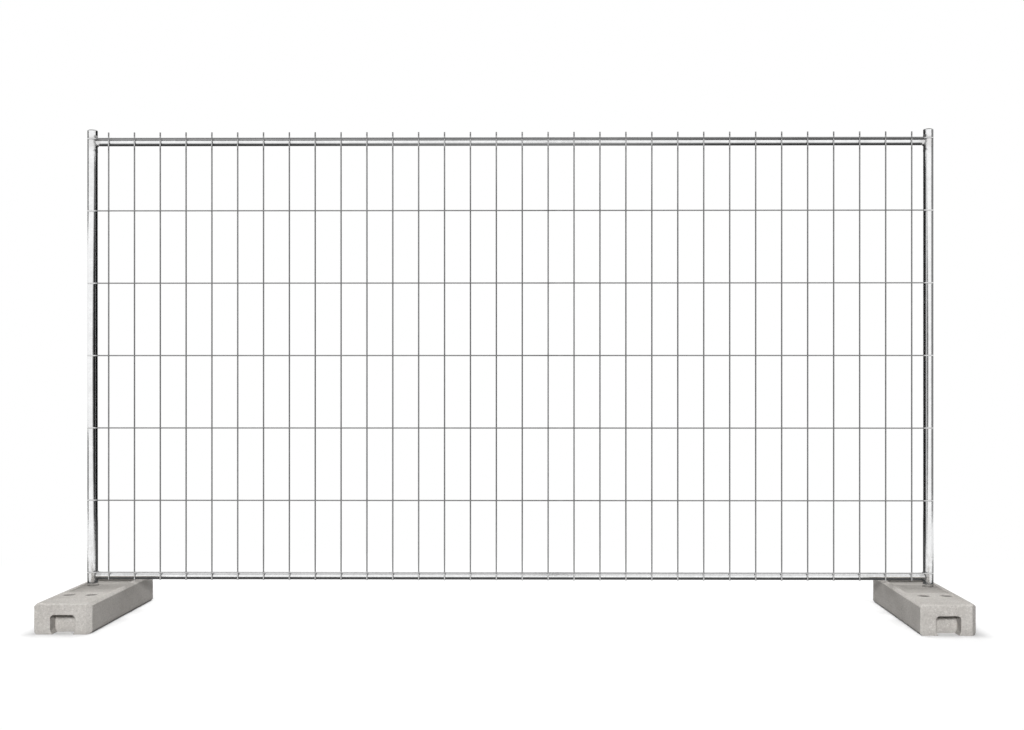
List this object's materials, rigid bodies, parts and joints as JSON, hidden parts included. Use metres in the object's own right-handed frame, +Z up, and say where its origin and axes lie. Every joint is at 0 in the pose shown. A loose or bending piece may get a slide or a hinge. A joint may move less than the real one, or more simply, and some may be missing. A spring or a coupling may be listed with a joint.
{
  "type": "temporary fence panel",
  "caption": "Free-standing site fence panel: round-tube frame with welded wire mesh, its uprights standing loose in sockets of concrete block feet with hand grips.",
  "frame": {"origin": "on the ground, at the centre of the footprint of the two feet", "axes": "+X along the panel, +Y to its back, away from the mesh side, +Z up"},
  "size_m": [3.592, 0.7, 2.018],
  "materials": {
    "galvanised_tube": "hot-dip galvanised",
    "galvanised_wire": "galvanised, duller than the tubes",
    "pressed_cap": "galvanised pressed steel",
    "weld_bead": "rough weld under zinc",
    "concrete": "cast grey concrete, fine pores"
  },
  "bodies": {
    "left_foot": {"left_foot": "concrete"},
    "panel": {"left_upright": "galvanised_tube", "right_upright": "galvanised_tube", "top_rail": "galvanised_tube", "bottom_rail": "galvanised_tube", "left_cap": "pressed_cap", "right_cap": "pressed_cap", "bottom_left_weld": "weld_bead", "bottom_right_weld": "weld_bead", "top_left_weld": "weld_bead", "top_right_weld": "weld_bead", "horizontal_wire_1": "galvanised_wire", "horizontal_wire_2": "galvanised_wire", "horizontal_wire_3": "galvanised_wire", "horizontal_wire_4": "galvanised_wire", "horizontal_wire_5": "galvanised_wire", "horizontal_wire_6": "galvanised_wire", "horizontal_wire_7": "galvanised_wire", "vertical_wire_01": "galvanised_wire", "vertical_wire_02": "galvanised_wire", "vertical_wire_03": "galvanised_wire", "vertical_wire_04": "galvanised_wire", "vertical_wire_05": "galvanised_wire", "vertical_wire_06": "galvanised_wire", "vertical_wire_07": "galvanised_wire", "vertical_wire_08": "galvanised_wire", "vertical_wire_09": "galvanised_wire", "vertical_wire_10": "galvanised_wire", "vertical_wire_11": "galvanised_wire", "vertical_wire_12": "galvanised_wire", "vertical_wire_13": "galvanised_wire", "vertical_wire_14": "galvanised_wire", "vertical_wire_15": "galvanised_wire", "vertical_wire_16": "galvanised_wire", "vertical_wire_17": "galvanised_wire", "vertical_wire_18": "galvanised_wire", "vertical_wire_19": "galvanised_wire", "vertical_wire_20": "galvanised_wire", "vertical_wire_21": "galvanised_wire", "vertical_wire_22": "galvanised_wire", "vertical_wire_23": "galvanised_wire", "vertical_wire_24": "galvanised_wire", "vertical_wire_25": "galvanised_wire", "vertical_wire_26": "galvanised_wire", "vertical_wire_27": "galvanised_wire", "vertical_wire_28": "galvanised_wire", "vertical_wire_29": "galvanised_wire", "vertical_wire_30": "galvanised_wire", "vertical_wire_31": "galvanised_wire", "vertical_wire_32": "galvanised_wire"},
    "right_foot": {"right_foot": "concrete"}
  },
  "joints": [
    {"name": "panel_lift", "type": "slide", "parent": "left_foot", "child": "panel", "axis": [0, 0, 1], "range_m": [0, 0.13]},
    {"name": "right_foot_drop", "type": "slide", "parent": "panel", "child": "right_foot", "axis": [0, 0, -1], "range_m": [0, 0.13]}
  ],
  "couplings": [
    {"joint": "right_foot_drop", "follows": "panel_lift", "ratio": 1}
  ]
}
